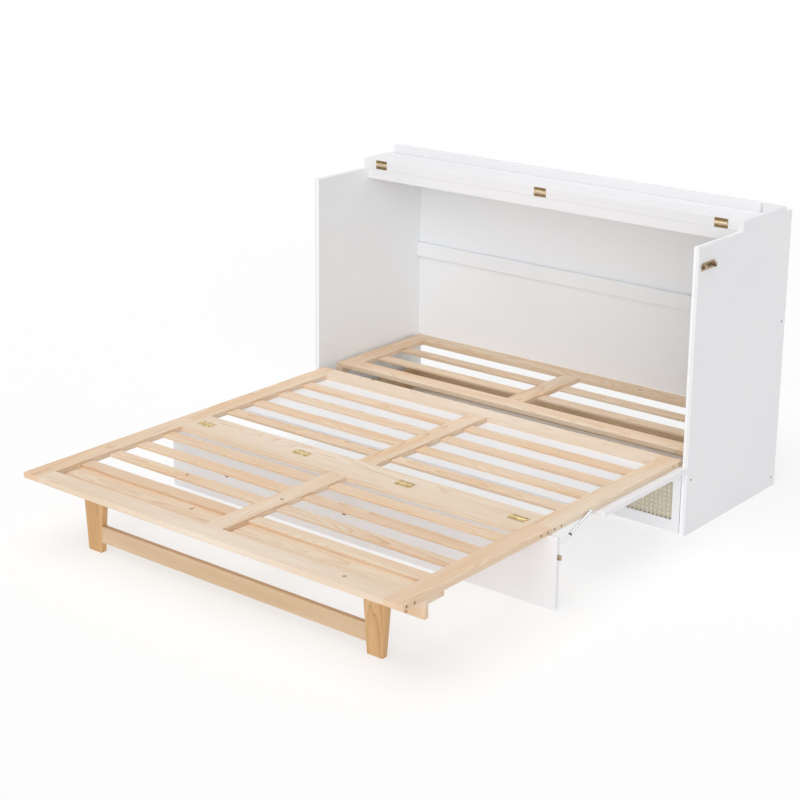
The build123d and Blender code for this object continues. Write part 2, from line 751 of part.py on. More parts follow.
with BuildPart() as lid_hinge_top_leaves:
    for x in lid_hinge_x:
        hinge_leaf(x, lid_leaf_length, board - corner_radius, lid_axis, (0, -1), (-1, 0), 0, True)
finish(lid_hinge_top_leaves, "lid_hinge_top_leaves")

with BuildPart() as lid_hinge_front_leaves:
    for x in lid_hinge_x:
        hinge_leaf(x, lid_leaf_length, board - corner_radius, lid_axis, (0, 1), (-1, 0), 0, False)
finish(lid_hinge_front_leaves, "lid_hinge_front_leaves")

# Drawer with a cane-faced front
drawer_half = inner - drawer_side_gap
cane_half = drawer_half - drawer_stile
cane_z = (drawer_floor_gap + drawer_rail, drawer_top - drawer_rail)
with BuildPart() as drawer_front:
    slab((-drawer_half, drawer_half), (0, board), (drawer_floor_gap, drawer_top))
    slab((-cane_half, cane_half), (0, cane_recess), cane_z, mode=Mode.SUBTRACT)
finish(drawer_front, "drawer_front")

with BuildPart() as drawer_cane:
    slab((-cane_half + fit, cane_half - fit), (cane_recess - cane_thickness, cane_recess),
         (cane_z[0] + fit, cane_z[1] - fit))
finish(drawer_cane, "drawer_cane")

box_out = inner - drawer_box_inset
box_in = box_out - drawer_box_thickness
box_top = drawer_box_z + drawer_box_height
floor_z = (drawer_box_z + drawer_bottom_rise, drawer_box_z + drawer_bottom_rise + drawer_bottom_thickness)
box_end = back_front - board - drawer_back_gap
with BuildPart() as drawer_sides:
    for side in (-1, 1):
        slab(span(side * box_in, side * box_out), (board, box_end), (drawer_box_z, box_top))
        slab(span(side * (box_in - 1), side * (box_in + groove_depth)), (board, box_end),
             (floor_z[0] - fit, floor_z[1] + fit), mode=Mode.SUBTRACT)
finish(drawer_sides, "drawer_sides")

with BuildPart() as drawer_back:
    slab((-box_in, box_in), (box_end - drawer_box_thickness, box_end), (floor_z[1] + fit, box_top))
finish(drawer_back, "drawer_back")

with BuildPart() as drawer_bottom:
    slab((-box_in - groove_depth + fit, box_in + groove_depth - fit), (board, box_end), floor_z)
finish(drawer_bottom, "drawer_bottom")

print("side height", side_height, "front plane", front, "closed front top", bed_pivot_z + seam)
print("stay length", stay_length, "bolt height", bolt_z, "keeper height", keeper_z)
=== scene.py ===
"""Looks of a storage bed: a white cabinet with slatted pine frames folded out in front of it.

The CAD nodes keep their shape. They get their finishes here, and soft edges from modifiers. The
woven cane, the screws of the hinges and the small fittings are surfaces worked out with numpy.
"""

import math

import bmesh
import bpy
import numpy as np
from mathutils import Matrix, Vector


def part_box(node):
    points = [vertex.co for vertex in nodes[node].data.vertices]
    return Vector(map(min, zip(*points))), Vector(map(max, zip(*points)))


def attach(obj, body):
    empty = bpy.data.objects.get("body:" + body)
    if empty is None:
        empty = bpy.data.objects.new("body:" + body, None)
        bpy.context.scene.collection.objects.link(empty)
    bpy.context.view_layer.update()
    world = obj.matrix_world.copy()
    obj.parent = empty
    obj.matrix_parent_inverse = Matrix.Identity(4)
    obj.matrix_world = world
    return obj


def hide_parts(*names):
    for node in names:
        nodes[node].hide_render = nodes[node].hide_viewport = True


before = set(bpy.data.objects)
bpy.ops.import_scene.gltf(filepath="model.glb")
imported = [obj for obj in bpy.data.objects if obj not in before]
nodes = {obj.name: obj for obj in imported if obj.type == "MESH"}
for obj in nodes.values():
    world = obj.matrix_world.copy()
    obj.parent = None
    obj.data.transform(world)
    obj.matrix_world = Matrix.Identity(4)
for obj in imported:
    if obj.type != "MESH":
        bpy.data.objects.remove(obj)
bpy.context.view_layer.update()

FRAME_PX = 800
MM = 0.001


def tone(red, green, blue):
    """A colour on the 0 to 255 scale of a screen, as the shader's linear colour."""
    scaled = np.array((red, green, blue)) / 255
    linear = np.where(scaled <= 0.04045, scaled / 12.92, ((scaled + 0.055) / 1.055) ** 2.4)
    return (*[float(c) for c in linear], 1.0)


# Camera


def place_camera(focal_px, centre_px, yaw, pitch, roll, target, distance):
    """A camera that looks at target from distance away, turned by yaw, pitch and roll in degrees."""
    yaw, pitch, roll = (math.radians(a) for a in (yaw, pitch, roll))
    ahead = Vector((-math.sin(yaw) * math.cos(pitch), math.cos(yaw) * math.cos(pitch), -math.sin(pitch)))
    level = Vector((math.cos(yaw), math.sin(yaw), 0))
    above = level.cross(ahead)
    right = level * math.cos(roll) + above * math.sin(roll)
    up = above * math.cos(roll) - level * math.sin(roll)
    lens = bpy.data.cameras.new("camera")
    lens.sensor_width = 36
    lens.lens = focal_px / FRAME_PX * lens.sensor_width
    lens.shift_x = 0.5 - centre_px[0] / FRAME_PX
    lens.shift_y = centre_px[1] / FRAME_PX - 0.5
    lens.clip_end = 200
    camera = bpy.data.objects.new("camera", lens)
    bpy.context.scene.collection.objects.link(camera)
    turn = Matrix((right, up, -ahead)).transposed().to_4x4()
    camera.matrix_world = Matrix.Translation(Vector(target) - ahead * distance) @ turn
    bpy.context.scene.camera = camera


place_camera(1853.07, (383.71, 300), 39.14, 15.53, 0.45, (-0.46321, 0.397, 0.57587), 6.663)

# Finishes


class Finish:
    """A material, with short ways to add its nodes."""

    def __init__(self, name, **fixed):
        self.material = bpy.data.materials.new(name)
        self.material.use_nodes = True
        self.tree = self.material.node_tree
        self.shader = self.tree.nodes["Principled BSDF"]
        for socket, value in fixed.items():
            self.shader.inputs[socket.replace("_", " ")].default_value = value

    def feed(self, socket, value):
        if isinstance(value, bpy.types.NodeSocket):
            self.tree.links.new(value, socket)
        else:
            socket.default_value = value

    def add(self, kind, *values, **settings):
        """A node with these settings, its first sockets fed with values."""
        made = self.tree.nodes.new("ShaderNode" + kind)
        for key, value in settings.items():
            setattr(made, key, value)
        for socket, value in zip(made.inputs, values):
            if value is not None:
                self.feed(socket, value)
        return made

    def sum(self, operation, *values):
        return self.add("Math", *values, operation=operation).outputs[0]

    def place(self):
        return self.add("TexCoord").outputs["Object"]

    def split(self, vector):
        return self.add("SeparateXYZ", vector).outputs

    def join(self, *parts):
        return self.add("CombineXYZ", *parts).outputs[0]

    def noise(self, vector, scale, detail=2.0, roughness=0.5):
        made = self.add("TexNoise")
        for key, value in dict(Vector=vector, Scale=scale, Detail=detail, Roughness=roughness).items():
            self.feed(made.inputs[key], value)
        return made.outputs["Fac"]

    def between(self, value, start, end, low, high, smooth=False):
        """Value from start to end, mapped from low to high."""
        kind = "SMOOTHSTEP" if smooth else "LINEAR"
        return self.add("MapRange", value, start, end, low, high, interpolation_type=kind).outputs[0]

    def mix(self, share, one, other):
        made = self.add("Mix", data_type="RGBA")
        for socket, value in ((made.inputs[0], share), (made.inputs[6], one), (made.inputs[7], other)):
            self.feed(socket, value)
        return made.outputs[2]

    def ramp(self, value, *stops):
        """Grey values at these positions, read at value."""
        made = self.add("ValToRGB", value)
        elements = made.color_ramp.elements
        while len(elements) < len(stops):
            elements.new(0.5)
        for element, (position, grey) in zip(elements, stops):
            element.position = position
            element.color = (grey, grey, grey, 1)
        return made.outputs[0]

    def bump(self, height, strength, distance):
        made = self.add("Bump")
        for key, value in dict(Strength=strength, Distance=distance, Height=height).items():
            self.feed(made.inputs[key], value)
        self.feed(self.shader.inputs["Normal"], made.outputs[0])

    def colour(self, value):
        self.feed(self.shader.inputs["Base Color"], value)

    def roughness(self, value):
        self.feed(self.shader.inputs["Roughness"], value)


# Pine: the early wood, the warmer wood and the late wood of each palette
PALE = (tone(240, 226, 206), tone(236, 207, 174), tone(198, 150, 104))
FAIR = (tone(242, 230, 214), tone(236, 217, 194), tone(206, 170, 134))
ASHEN = tone(222, 202, 182)
GOLD = (tone(230, 196, 146), tone(216, 174, 121), tone(162, 112, 62))
GREYED = (tone(226, 200, 166), tone(216, 186, 150), tone(178, 142, 104))
# The width of a growth ring, how close the places for knots are, and how many of them stay clear
RING, KNOT_SCALE, CLEAR_SHARE = 5.2 * MM, 4.2, 0.72
BOARD_SHIFT = 9.0


def pine(node, axes, seed, palette=PALE, rows=1, row_width=0.0):
    """Sawn pine. Axes names the board's length, width and thickness. The growth rings are circles
    round a pith beside the board, pushed about by slow noise along it and swollen round knots.
    A row of slats is told apart by its place, and each slat has its own pith and a greyer tint."""
    low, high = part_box(node)
    length, width, depth = ("xyz".index(letter) for letter in axes)
    wood = Finish("pine_" + node)
    part = wood.split(wood.place())
    along, deep = part[length], wood.sum("SUBTRACT", part[depth], (low[depth] + high[depth]) / 2)
    if rows > 1:
        pitch = (high[width] - low[width] - row_width) / (rows - 1)
        start = low[width] + row_width / 2
        row = wood.sum("ROUND", wood.sum("DIVIDE", wood.sum("SUBTRACT", part[width], start), pitch))
        middle = wood.sum("MULTIPLY_ADD", row, pitch, start)
        across = wood.sum("SUBTRACT", part[width], middle)
        key = wood.join(row, wood.sum("SIGN", along), seed)
    else:
        across = wood.sum("SUBTRACT", part[width], (low[width] + high[width]) / 2)
        key = wood.join(seed, seed * 0.37, seed * 1.71)
    chance = wood.split(wood.add("TexWhiteNoise", key, noise_dimensions="3D").outputs["Color"])
    far = wood.sum("MULTIPLY_ADD", chance[0], BOARD_SHIFT, along)
    aside = wood.sum("MULTIPLY_ADD", chance[1], BOARD_SHIFT, across)

    def grain(stretch, spread):
        """Noise whose scale is stretch along the board and spread across it."""
        place = wood.join(wood.sum("MULTIPLY", far, stretch), wood.sum("MULTIPLY", aside, spread), deep)
        return wood.noise(place, 1.0)

    cells = wood.add("TexVoronoi", voronoi_dimensions="2D")
    wood.feed(cells.inputs["Vector"], wood.join(far, aside, 0.0))
    wood.feed(cells.inputs["Scale"], KNOT_SCALE)
    reach = wood.sum("DIVIDE", cells.outputs["Distance"], KNOT_SCALE)
    lot = wood.split(cells.outputs["Color"])[0]
    is_knot = wood.sum("GREATER_THAN", lot, CLEAR_SHARE)
    knot = wood.sum("MULTIPLY", is_knot, wood.between(reach, 0.0095, 0.004, 0.0, 1.0, True))
    swell = wood.sum("MULTIPLY", is_knot, wood.between(reach, 0.05, 0.0, 0.0, 0.02, True))

    pith_aside = wood.between(chance[2], 0, 1, -0.05, 0.05)
    pith_deep = wood.between(chance[1], 0, 1, -0.028, -0.075)
    run = wood.sum("SUBTRACT", across, pith_aside)
    drop = wood.sum("SUBTRACT", deep, pith_deep)
    squares = wood.sum("MULTIPLY", run, run), wood.sum("MULTIPLY", drop, drop)
    radius = wood.sum("SQRT", wood.sum("ADD", *squares))
    radius = wood.sum("ADD", radius, wood.between(grain(0.9, 5.0), 0.2, 0.8, -0.03, 0.03))
    radius = wood.sum("ADD", radius, wood.between(grain(7.0, 30.0), 0.2, 0.8, -0.0016, 0.0016))
    radius = wood.sum("ADD", radius, swell)
    phase = wood.sum("FRACT", wood.sum("DIVIDE", radius, RING))
    ring = wood.ramp(phase, (0.0, 0.05), (0.5, 0.12), (0.82, 0.6), (0.93, 1.0), (1.0, 0.05))

    stretched = wood.join(wood.sum("MULTIPLY", far, 6.0), wood.sum("MULTIPLY", aside, 420.0),
                          wood.sum("MULTIPLY", deep, 420.0))
    fibre = wood.noise(stretched, 1.0, 3.0, 0.6)
    cloud = grain(1.6, 14.0)
    pale, warm, late = palette
    body = wood.mix(wood.between(cloud, 0.34, 0.7, 0.0, 1.0, True), pale, warm)
    body = wood.mix(wood.between(chance[2], 0, 1, 0.0, 0.6), body, warm)
    if rows > 1:
        body = wood.mix(wood.between(chance[0], 0.3, 1, 0.0, 0.5), body, ASHEN)
    strength = wood.between(cloud, 0.25, 0.75, 0.3, 0.7)
    body = wood.mix(wood.sum("MULTIPLY", ring, strength), body, late)
    body = wood.mix(wood.between(fibre, 0.3, 0.75, 0.0, 0.3), body, late)
    body = wood.mix(wood.sum("MULTIPLY", knot, 0.75), body, tone(150, 100, 62))
    wood.colour(body)
    wood.roughness(wood.between(fibre, 0.3, 0.7, 0.46, 0.6))
    height = wood.sum("SUBTRACT", wood.sum("MULTIPLY", fibre, 0.8), wood.sum("MULTIPLY", ring, 0.35))
    wood.bump(height, 0.35, 0.25 * MM)
    return wood.material


# How far from the cabinet's middle the inner faces of its sides give way to the outer ones; the inner faces
# get a brighter white, painted light against the shade inside
INNER_FACE = 0.791


def lacquer(name, light, shade, roughness, inner=None):
    """White lacquered board: a soft satin sheen, the faint dimples of sprayed paint and slow clouds.
    Inner is a brighter white, painted light, for faces that look into the cabinet, nearer its middle than
    INNER_FACE: it lifts the shade inside."""
    paint = Finish(name, Coat_Weight=0.15, Coat_Roughness=0.25)
    place = paint.place()
    cloud = paint.noise(place, 3.5, 3.0)
    body = paint.mix(paint.between(cloud, 0.3, 0.7, 0.0, 1.0), light, shade)
    # Painted light: faces nearer the middle than INNER_FACE take the brighter inner white
    if inner:
        inside = paint.sum("LESS_THAN", paint.sum("ABSOLUTE", paint.split(place)[0]), INNER_FACE)
        body = paint.mix(inside, body, inner)
    paint.colour(body)
    spots = paint.noise(place, 22.0, 3.0)
    paint.roughness(paint.between(spots, 0.3, 0.7, roughness - 0.05, roughness + 0.05))
    paint.bump(paint.noise(place, 520.0, 2.0), 0.06, 0.2 * MM)
    return paint.material


def metal(name, bright, dull, roughness, grain=(1.0, 1.0, 1.0), patch=60.0):
    """Metal with patches where the plating is duller, and fine scratches. Grain scales their places, so
    that they run long in the directions where it is small."""
    plate = Finish(name, Metallic=1.0)
    place = plate.place()
    spots = plate.noise(place, patch, 4.0, 0.65)
    lines = plate.noise(plate.add("VectorMath", place, grain, operation="MULTIPLY").outputs[0], 900.0, 2.0)
    plate.colour(plate.mix(plate.between(spots, 0.35, 0.7, 0.0, 1.0), bright, dull))
    plate.roughness(plate.between(spots, 0.3, 0.7, roughness, roughness + 0.16))
    plate.bump(lines, 0.12, 0.1 * MM)
    return plate.material


def banded_brass(level, reach):
    """Brass of the lid's hinges: pale at the knuckles, within reach of level, and dark at the screws."""
    plate = Finish("lid_hinge_brass", Metallic=1.0)
    place = plate.place()
    away = plate.sum("ABSOLUTE", plate.sum("SUBTRACT", plate.split(place)[2], level))
    spots = plate.noise(place, 160.0, 4.0, 0.65)
    edge = plate.sum("MULTIPLY_ADD", spots, 0.003, away)
    share = plate.between(edge, reach, reach + 3.5 * MM, 0.0, 1.0)
    body = plate.mix(share, tone(236, 220, 190), tone(150, 124, 88))
    plate.colour(plate.mix(plate.between(spots, 0.4, 0.75, 0.0, 0.6), body, tone(112, 88, 58)))
    plate.roughness(plate.between(spots, 0.3, 0.7, 0.28, 0.42))
    return plate.material


LID_AXIS_Z = 990.5
PAINT = tone(237, 237, 239), tone(234, 234, 237)
white = lacquer("white_lacquer", *PAINT, 0.4)
# Painted light: a brighter, bluer white for faces inside the cabinet, standing in for light that its shade
# takes away
white_lit_inside = lacquer("white_lacquer_lit_inside", tone(247, 250, 253), tone(244, 247, 251), 0.45)
white_side_lit_inside = lacquer("white_lacquer_side_lit_inside", *PAINT, 0.4, tone(246, 249, 252))
brass = metal("hinge_brass", tone(228, 210, 164), tone(188, 160, 108), 0.26)
lid_brass = banded_brass(LID_AXIS_Z * MM, 5.5 * MM)
bronze = metal("aged_brass", tone(138, 114, 82), tone(84, 66, 46), 0.34, patch=130.0)
pale_bronze = metal("aged_brass_plate", tone(206, 190, 162), tone(142, 122, 94), 0.32, patch=130.0)
chrome = metal("stay_chrome", tone(232, 232, 235), tone(216, 216, 220), 0.2, grain=(1, 0.1, 0.1))
steel = metal("screw_steel", tone(150, 146, 140), tone(96, 92, 88), 0.35, patch=200.0)


def cane_finish():
    """Split cane: pale yellow-brown skin with fine lines, greyer where it is handled less."""
    skin = Finish("cane")
    place = skin.place()
    patches = skin.noise(place, 70.0, 3.0)
    fine = skin.noise(place, 1400.0, 2.0)
    body = skin.mix(skin.between(patches, 0.3, 0.7, 0.0, 1.0), tone(234, 226, 206), tone(226, 216, 194))
    skin.colour(skin.mix(skin.between(fine, 0.4, 0.8, 0.0, 0.35), body, tone(172, 154, 122)))
    skin.roughness(skin.between(fine, 0.3, 0.7, 0.38, 0.55))
    skin.bump(fine, 0.3, 0.1 * MM)
    return skin.material


def raw_board():
    """The brown core of the board, fibres pressed together, where a hole is bored."""
    core = Finish("board_core")
    place = core.place()
    specks = core.noise(place, 700.0, 3.0, 0.7)
    core.colour(core.mix(core.between(specks, 0.3, 0.7, 0.0, 1.0), tone(104, 78, 54), tone(136, 106, 76)))
    core.roughness(core.between(specks, 0.3, 0.7, 0.8, 0.95))
    core.bump(specks, 0.4, 0.2 * MM)
    return core.material


def painted_shade_sheet():
    """A dark sheet behind the cane: painted shade for the dim drawer seen through its holes."""
    shade_sheet = Finish("cane_shade_sheet")
    place = shade_sheet.place()
    weave = shade_sheet.noise(place, 900.0, 2.0)
    shade_sheet.colour(shade_sheet.mix(shade_sheet.between(weave, 0.3, 0.7, 0.0, 1.0), tone(132, 123, 108), tone(108, 99, 86)))
    shade_sheet.roughness(shade_sheet.between(weave, 0.3, 0.7, 0.85, 0.95))
    return shade_sheet.material


def black_plastic():
    """The moulded collar at the mouth of a stay, slightly pitted."""
    cap = Finish("stay_collar")
    pits = cap.noise(cap.place(), 600.0, 2.0)
    cap.colour(cap.mix(cap.between(pits, 0.3, 0.7, 0.0, 1.0), tone(62, 62, 64), tone(44, 44, 46)))
    cap.roughness(cap.between(pits, 0.3, 0.7, 0.35, 0.5))
    cap.bump(pits, 0.2, 0.1 * MM)
    return cap.material


# Finishes of the CAD nodes


def coat(name, finish):
    """Gives a CAD node this finish and no other."""
    nodes[name].data.materials.clear()
    nodes[name].data.materials.append(finish)


WHITE_NODES = ("side_panel_left", "side_panel_right", "top_board", "top_front_rail", "back_panel",
               "back_upper_rail", "back_lower_rail", "front_crossbeam", "lower_front_panel", "flap_panel",
               "lid_front_board", "lid_lip", "drawer_front")
# Boards inside the cabinet and the drawer's bottom get the brighter white of painted light, lifting the
# shade there; the sides get it on their inner faces
LIT_INSIDE_NODES = ("back_panel", "back_upper_rail", "drawer_bottom")
SIDE_NODES = ("side_panel_left", "side_panel_right")
for name in (*WHITE_NODES, "drawer_bottom"):
    coat(name, white_lit_inside if name in LIT_INSIDE_NODES else white_side_lit_inside if name in SIDE_NODES else white)

# The length, width and thickness axis of each board
PINE_BOARDS = {
    "rear_rail_left": "yxz", "rear_rail_right": "yxz", "rear_centre_rail": "yxz",
    "rear_front_board": "xyz", "rear_back_board": "xyz",
    "mid_rail_left": "yxz", "mid_rail_right": "yxz", "mid_centre_rail": "yxz",
    "mid_rear_board": "xyz", "mid_seam_board": "xyz",
    "foot_rail_left": "yxz", "foot_rail_right": "yxz", "foot_centre_rail": "yxz",
    "foot_seam_board": "xyz", "foot_end_board": "xyz",
    "leg_apron": "xzy", "leg_mount_board": "xyz", "side_battens": "yzx",
}
FAIR_BOARDS = ("mid_rear_board", "mid_seam_board", "foot_seam_board", "foot_end_board")
SLAT_ROWS = {"rear_slats": 3, "mid_slats": 5, "foot_slats": 4}
SLAT_WIDTH = 50 * MM
LEGS = ("leg_left", "leg_right")
for seed, (name, axes) in enumerate(PINE_BOARDS.items()):
    coat(name, pine(name, axes, seed + 1.0, FAIR if name in FAIR_BOARDS else PALE))
for seed, (name, rows) in enumerate(SLAT_ROWS.items()):
    coat(name, pine(name, "xyz", seed + 40.0, rows=rows, row_width=SLAT_WIDTH))
for seed, name in enumerate(LEGS):
    coat(name, pine(name, "zxy", seed + 60.0, GOLD))
coat("leg_stretcher", pine("leg_stretcher", "xzy", 71.0, GREYED))
for seed, (name, axes) in enumerate({"drawer_sides": "yzx", "drawer_back": "xzy"}.items()):
    coat(name, pine(name, axes, seed + 80.0, GREYED))

FITTINGS = {
    "bed_hinge_cabinet_leaves": white, "bed_hinge_panel_leaves": white, "mid_hinge_leaves": brass,
    "seam_hinge_foot_leaves": brass, "flap_hinge_panel_leaves": brass, "lid_hinge_top_leaves": lid_brass,
    "lid_hinge_front_leaves": lid_brass, "bolt_bases": pale_bronze, "bolt_keepers": pale_bronze,
    "bolt_bar_left": bronze, "bolt_bar_right": bronze, "strut_flap_brackets": chrome,
    "strut_frame_studs": chrome, "leg_pivot_brackets": steel, "cabinet_screws": steel,
    "mid_frame_bolts": bronze, "foot_frame_bolts": bronze,
}
for name, finish in FITTINGS.items():
    coat(name, finish)

# Soft edges


def soften(name, width, segments):
    """Rounds the arrises of a CAD node with modifiers: its triangles are joined, then bevelled."""
    join = nodes[name].modifiers.new("join", "WELD")
    join.merge_threshold = 0.01 * MM
    flat = nodes[name].modifiers.new("flat", "DECIMATE")
    flat.decimate_type = "DISSOLVE"
    flat.angle_limit = math.radians(0.5)
    round_over = nodes[name].modifiers.new("arris", "BEVEL")
    round_over.width = width
    round_over.segments = segments
    round_over.limit_method = "ANGLE"
    round_over.angle_limit = math.radians(35)


STACKED = ("top_board", "lid_front_board", "top_front_rail", "lid_lip", "back_upper_rail")
for name in WHITE_NODES:
    soften(name, (2.2 if name in STACKED else 1.3) * MM, 2)
for name in (*PINE_BOARDS, *SLAT_ROWS, *LEGS, "leg_stretcher"):
    soften(name, 1.8 * MM, 2)

# New pieces


def piece(name, points, faces, body, finish, slot, stands_for=()):
    """A mesh of these points and faces, outwards and smooth but for its sharp edges, on a body."""
    mesh = bpy.data.meshes.new(name)
    mesh.from_pydata(np.asarray(points).reshape(-1, 3).tolist(), [], faces)
    work = bmesh.new()
    work.from_mesh(mesh)
    bmesh.ops.recalc_face_normals(work, faces=work.faces)
    work.to_mesh(mesh)
    work.free()
    mesh.shade_smooth()
    mesh.set_sharp_from_angle(angle=math.radians(35))
    mesh.materials.append(finish)
    made = bpy.data.objects.new(name, mesh)
    bpy.context.scene.collection.objects.link(made)
    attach(made, body)
    if stands_for:
        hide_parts(*stands_for)


def skin(rows, columns, loop=False, capped=True):
    """Faces of a grid of points whose columns close on themselves. With loop its rows close too, and
    else its first and last row get a cap."""
    row, column = np.meshgrid(np.arange(rows if loop else rows - 1), np.arange(columns), indexing="ij")
    after, beside = (row + 1) % rows, (column + 1) % columns
    quads = np.stack((row * columns + column, row * columns + beside, after * columns + beside,
                      after * columns + column), -1)
    faces = quads.reshape(-1, 4).tolist()
    if capped and not loop:
        first = np.arange(columns)
        faces += [first[::-1].tolist(), ((rows - 1) * columns + first).tolist()]
    return faces


def repeat(points, faces):
    """One set of faces for each of several grids of points with the same layout."""
    size = int(np.prod(points.shape[1:-1]))
    return [[corner + k * size for corner in face] for k in range(len(points)) for face in faces]


TURNS = 32


def lathe(starts, direction, profile, loop=False):
    """Turned shapes, one from each start: along * direction + radius * (cos t * side + sin t * other),
    where profile lists along and radius in millimetres and t goes once round."""
    starts = np.atleast_2d(np.array(starts, float)) * MM
    direction = np.array(direction, float) / np.linalg.norm(direction)
    side = np.cross(direction, np.roll(direction, 1) + (0.3, 0.1, 0.2))
    side /= np.linalg.norm(side)
    other = np.cross(direction, side)
    along, radius = (np.array(profile, float) * MM).T
    angle = np.linspace(0, 2 * math.pi, TURNS, endpoint=False)
    round_it = np.cos(angle)[:, None] * side + np.sin(angle)[:, None] * other
    shape = along[:, None, None] * direction + radius[:, None, None] * round_it
    points = starts[:, None, None, :] + shape
    return points, repeat(points, skin(len(profile), TURNS, loop))


def together(*parts):
    """Several pieces of points and faces as one."""
    points, faces = [], []
    for part_points, part_faces in parts:
        offset = sum(len(p) for p in points)
        points.append(part_points.reshape(-1, 3))
        faces += [[corner + offset for corner in face] for face in part_faces]
    return np.concatenate(points), faces


# The y of the cabinet's front edges, in millimetres
FRONT = 407
SIDES = (-1, 1)


def local(x, y, z):
    """A point measured from the cabinet's front, in millimetres of the shared frame."""
    return (x, y + FRONT, z)


# Screw heads

DOME, CUT, SKIRT = 0.8, 0.8, 0.4
HEAD_RINGS = np.array((0.03, 0.12, 0.2, 0.3, 0.42, 0.55, 0.66, 0.78, 0.9, 0.97, 1.0))


def heads(name, centres, normals, radius, rise, body, finish, slot):
    """Screw heads on a polar grid. Height is rise * (1 - DOME * (r / radius) ** 4), less a cross whose
    depth, CUT * rise, fades at its walls and at the ends of its arms. Below the rim a skirt goes into
    what it holds."""
    centres, normals = np.array(centres, float), np.array(normals, float)
    side = np.cross(normals, normals[:, (1, 2, 0)])
    other = np.cross(normals, side)
    angle = np.linspace(0, 2 * math.pi, TURNS, endpoint=False)
    reach = HEAD_RINGS[:, None] * radius
    x, y = reach * np.cos(angle), reach * np.sin(angle)
    near, far = np.minimum(abs(x), abs(y)), np.maximum(abs(x), abs(y))
    arm, width = 0.62 * radius, 0.16 * radius
    cross = np.clip((width - near) / (0.5 * width), 0, 1) * np.clip((arm - far) / (0.25 * arm), 0, 1)
    height = rise * (1 - HEAD_RINGS[:, None] ** 4 * DOME) - CUT * rise * cross
    x, y = np.vstack((x, x[-1:])), np.vstack((y, y[-1:]))
    height = np.vstack((height, np.full((1, TURNS), -SKIRT)))
    shape = (x[..., None] * side[:, None, None] + y[..., None] * other[:, None, None]
             + height[..., None] * normals[:, None, None])
    points = (centres[:, None, None] + shape) * MM
    piece(name, points, repeat(points, skin(len(height), TURNS)), body, finish, slot)


def corners(node):
    """The points of a CAD node, in millimetres."""
    mesh = nodes[node].data
    points = np.empty(len(mesh.vertices) * 3)
    mesh.vertices.foreach_get("co", points)
    return points.reshape(-1, 3) / MM


# Half the length in which a leaf is looked for, the reach of its knuckles, how far across it the screws
# are, and how proud they stand
LEAF_REACH, KNUCKLE, SCREW_LINE, LEAF_RISE = 42, 4.5, 0.62, 0.12


def leaf_screws(name, node, middles, axis, out, up, radius, shares, body):
    """Screws along each leaf of a hinge node. The leaf is read from the node's points near its middle:
    out is the way from the hinge's axis across the leaf, and up is the way that its face looks."""
    points = corners(node)
    out, up = np.array(out, float), np.array(up, float)
    spots, hinge_line = [], np.array(local(0, *axis))
    for middle in middles:
        leaf = points[abs(points[:, 0] - middle) < LEAF_REACH] - hinge_line
        plate = leaf[leaf @ out > KNUCKLE]
        width, top = (plate @ out).max(), (plate @ up).max()
        half = abs(plate[:, 0] - middle).max()
        for share in shares:
            spots.append(hinge_line + (middle + share * half, 0, 0) + out * width * SCREW_LINE + up * top)
    heads(name, spots, [up] * len(spots), radius, LEAF_RISE, body, bronze, "hinge_brass")


SEAM, TOP_SEAM = (-732, 254), (282, LID_AXIS_Z)
SEAM_MIDDLES, LID_MIDDLES = (-650, -215, 215, 650), (-717, 0, 717)
THREE, TWO = (-0.66, 0, 0.66), (-0.55, 0.55)
leaf_screws("seam_screws_middle", "mid_hinge_leaves", SEAM_MIDDLES, SEAM, (0, 1, 0), (0, 0, 1), 2.1, THREE,
            "middle")
leaf_screws("seam_screws_foot", "seam_hinge_foot_leaves", SEAM_MIDDLES, SEAM, (0, -1, 0), (0, 0, 1), 2.1,
            THREE, "foot")
leaf_screws("lid_screws_cabinet", "lid_hinge_top_leaves", LID_MIDDLES, TOP_SEAM, (0, 0, -1), (0, -1, 0), 1.9,
            TWO, "cabinet")
leaf_screws("lid_screws_lid", "lid_hinge_front_leaves", LID_MIDDLES, TOP_SEAM, (0, 0, 1), (0, -1, 0), 1.9,
            TWO, "lid")

SIDE_SCREWS = ((595, 34), (595, 602), (27.5, 191))
screw_points = corners("cabinet_screws")
screw_top = screw_points[:, 0].max()
spot_y, spot_z = SIDE_SCREWS[2]
near_spot = np.hypot(screw_points[:, 1] - spot_y - FRONT, screw_points[:, 2] - spot_z)
at_face = abs(screw_points[:, 0] - screw_top) < 0.5
screw_radius = near_spot[at_face & (near_spot < 20)].max()
heads("cabinet_screw_heads", [local(side * screw_top, y, z) for side in SIDES for y, z in SIDE_SCREWS],
      [(side, 0, 0) for side in SIDES for _ in SIDE_SCREWS], screw_radius * 0.96, 0.3, "cabinet", steel,
      "fastener_steel")

# Finger holes

HOLE_MIDDLES, HOLE_Z, PANEL_Y = (-545, -22, 501), 108, (-747, -732)
# The outer and inner radius of the bare wall, and how far it stays inside the faces of the board
RIM, WALL, INSET = 15.95, 15.3, 0.5
hole_start, hole_end = INSET, PANEL_Y[1] - PANEL_Y[0] - INSET
points, faces = lathe([local(x, PANEL_Y[0], HOLE_Z) for x in HOLE_MIDDLES], (0, 1, 0),
                      ((hole_start, RIM), (hole_end, RIM), (hole_end, WALL), (hole_start, WALL)), loop=True)
piece("finger_hole_walls", points, faces, "flap", raw_board(), "white_board")

# Stays

